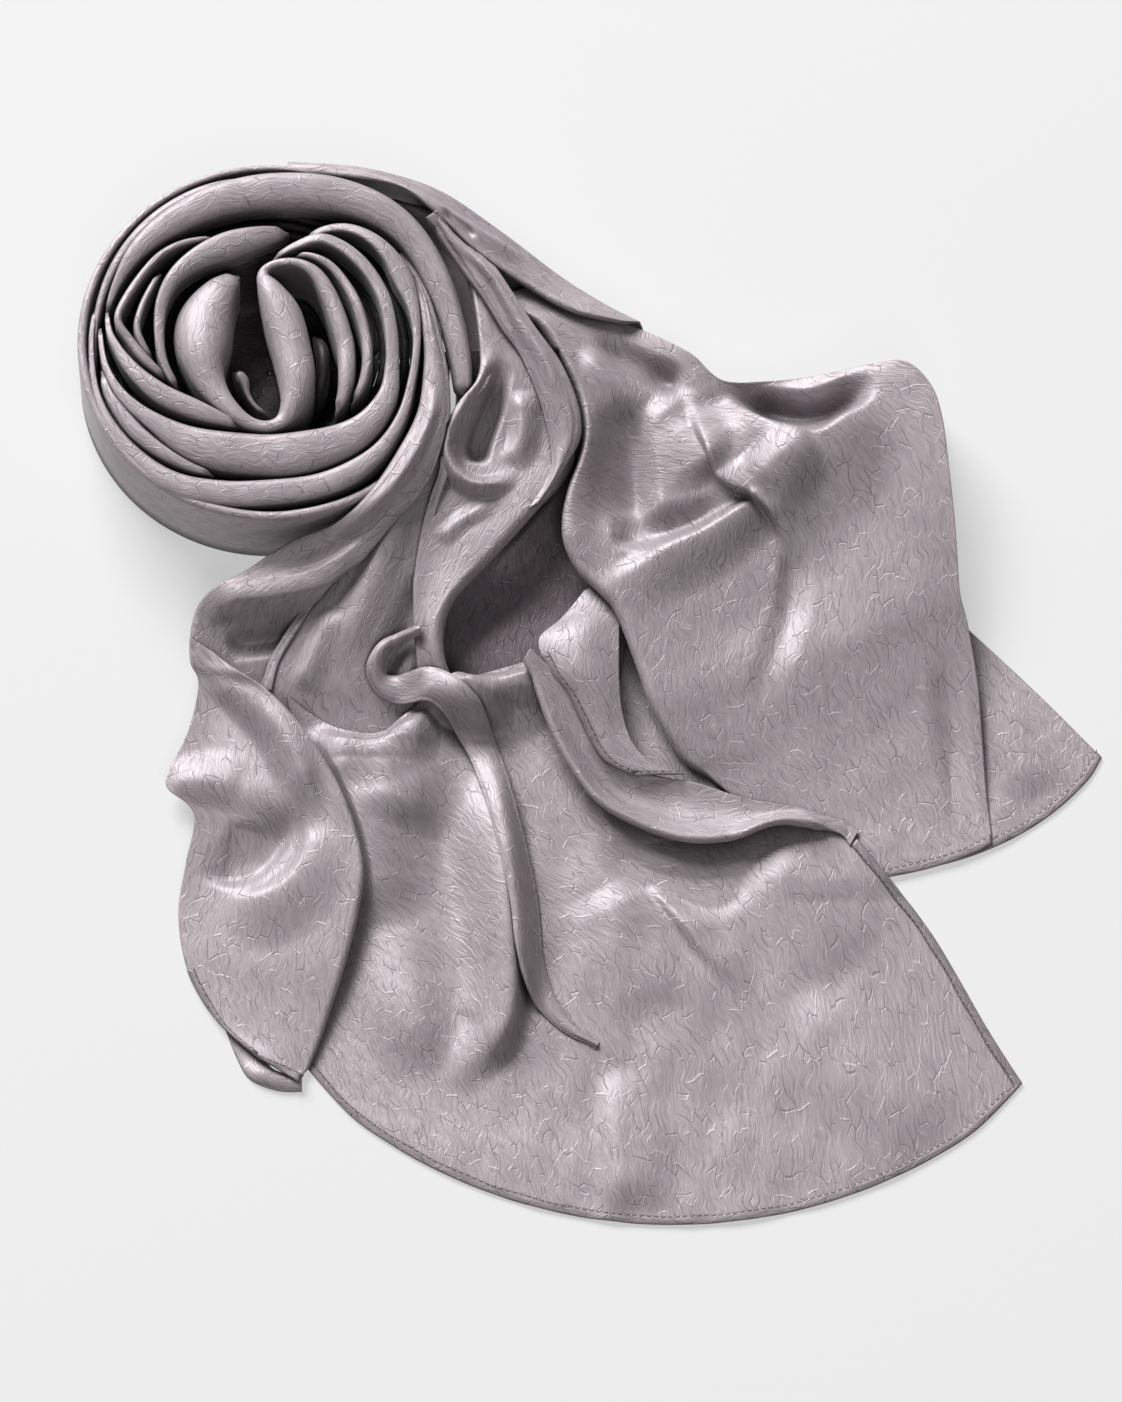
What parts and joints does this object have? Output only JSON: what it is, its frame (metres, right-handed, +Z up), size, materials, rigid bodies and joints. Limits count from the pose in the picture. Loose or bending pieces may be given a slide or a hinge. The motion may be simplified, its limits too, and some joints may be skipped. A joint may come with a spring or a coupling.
{
  "type": "hijab",
  "caption": "Rectangular crinkled satin hijab scarf lying loosely rolled into a standing coil at one end, with the other end swept out and fanned into soft hemmed flaps.",
  "frame": {"origin": "middle of the scarf's bounding box, on the flat surface that it lies on", "axes": "+Z up from the surface; the rolled end is at -X +Y, and the hemmed end fans out towards -Y and +X"},
  "size_m": [0.5626, 0.6004, 0.0681],
  "materials": {
    "crinkled_satin": "crinkled satin with a soft silvery sheen",
    "inner_layers": "the same satin, in the shade inside the roll",
    "hem_stitching": "narrow turned hem with a machine stitch"
  },
  "bodies": {
    "root": {"back_sweep": "crinkled_satin", "centre_flap": "crinkled_satin", "centre_front": "crinkled_satin", "centre_root": "crinkled_satin", "coil_back_band": "crinkled_satin", "coil_back_wall": "crinkled_satin", "coil_core_fold": "crinkled_satin", "coil_core_loop": "crinkled_satin", "coil_front_band": "crinkled_satin", "coil_layers": "inner_layers", "coil_left_layer": "crinkled_satin", "coil_left_pleat": "crinkled_satin", "coil_loop_1": "crinkled_satin", "coil_loop_2": "crinkled_satin", "coil_loop_3": "crinkled_satin", "coil_loop_4": "crinkled_satin", "coil_outer_wall": "crinkled_satin", "coil_right_band": "crinkled_satin", "coil_rim_1": "crinkled_satin", "coil_rim_2": "crinkled_satin", "coil_rim_3": "crinkled_satin", "cup_fold": "crinkled_satin", "curled_selvage": "crinkled_satin", "hem_centre": "hem_stitching", "hem_corner": "hem_stitching", "hem_left": "hem_stitching", "hem_right": "hem_stitching", "hem_small": "hem_stitching", "left_band": "crinkled_satin", "left_curl": "crinkled_satin", "left_flap": "crinkled_satin", "left_root": "crinkled_satin", "narrow_fold": "crinkled_satin", "outer_sweep": "crinkled_satin", "right_corner": "crinkled_satin", "right_flap": "crinkled_satin", "right_front": "crinkled_satin", "right_sweep": "crinkled_satin", "second_band": "crinkled_satin", "small_flap": "crinkled_satin", "top_fold": "crinkled_satin", "under_layers": "inner_layers"}
  },
  "joints": []
}
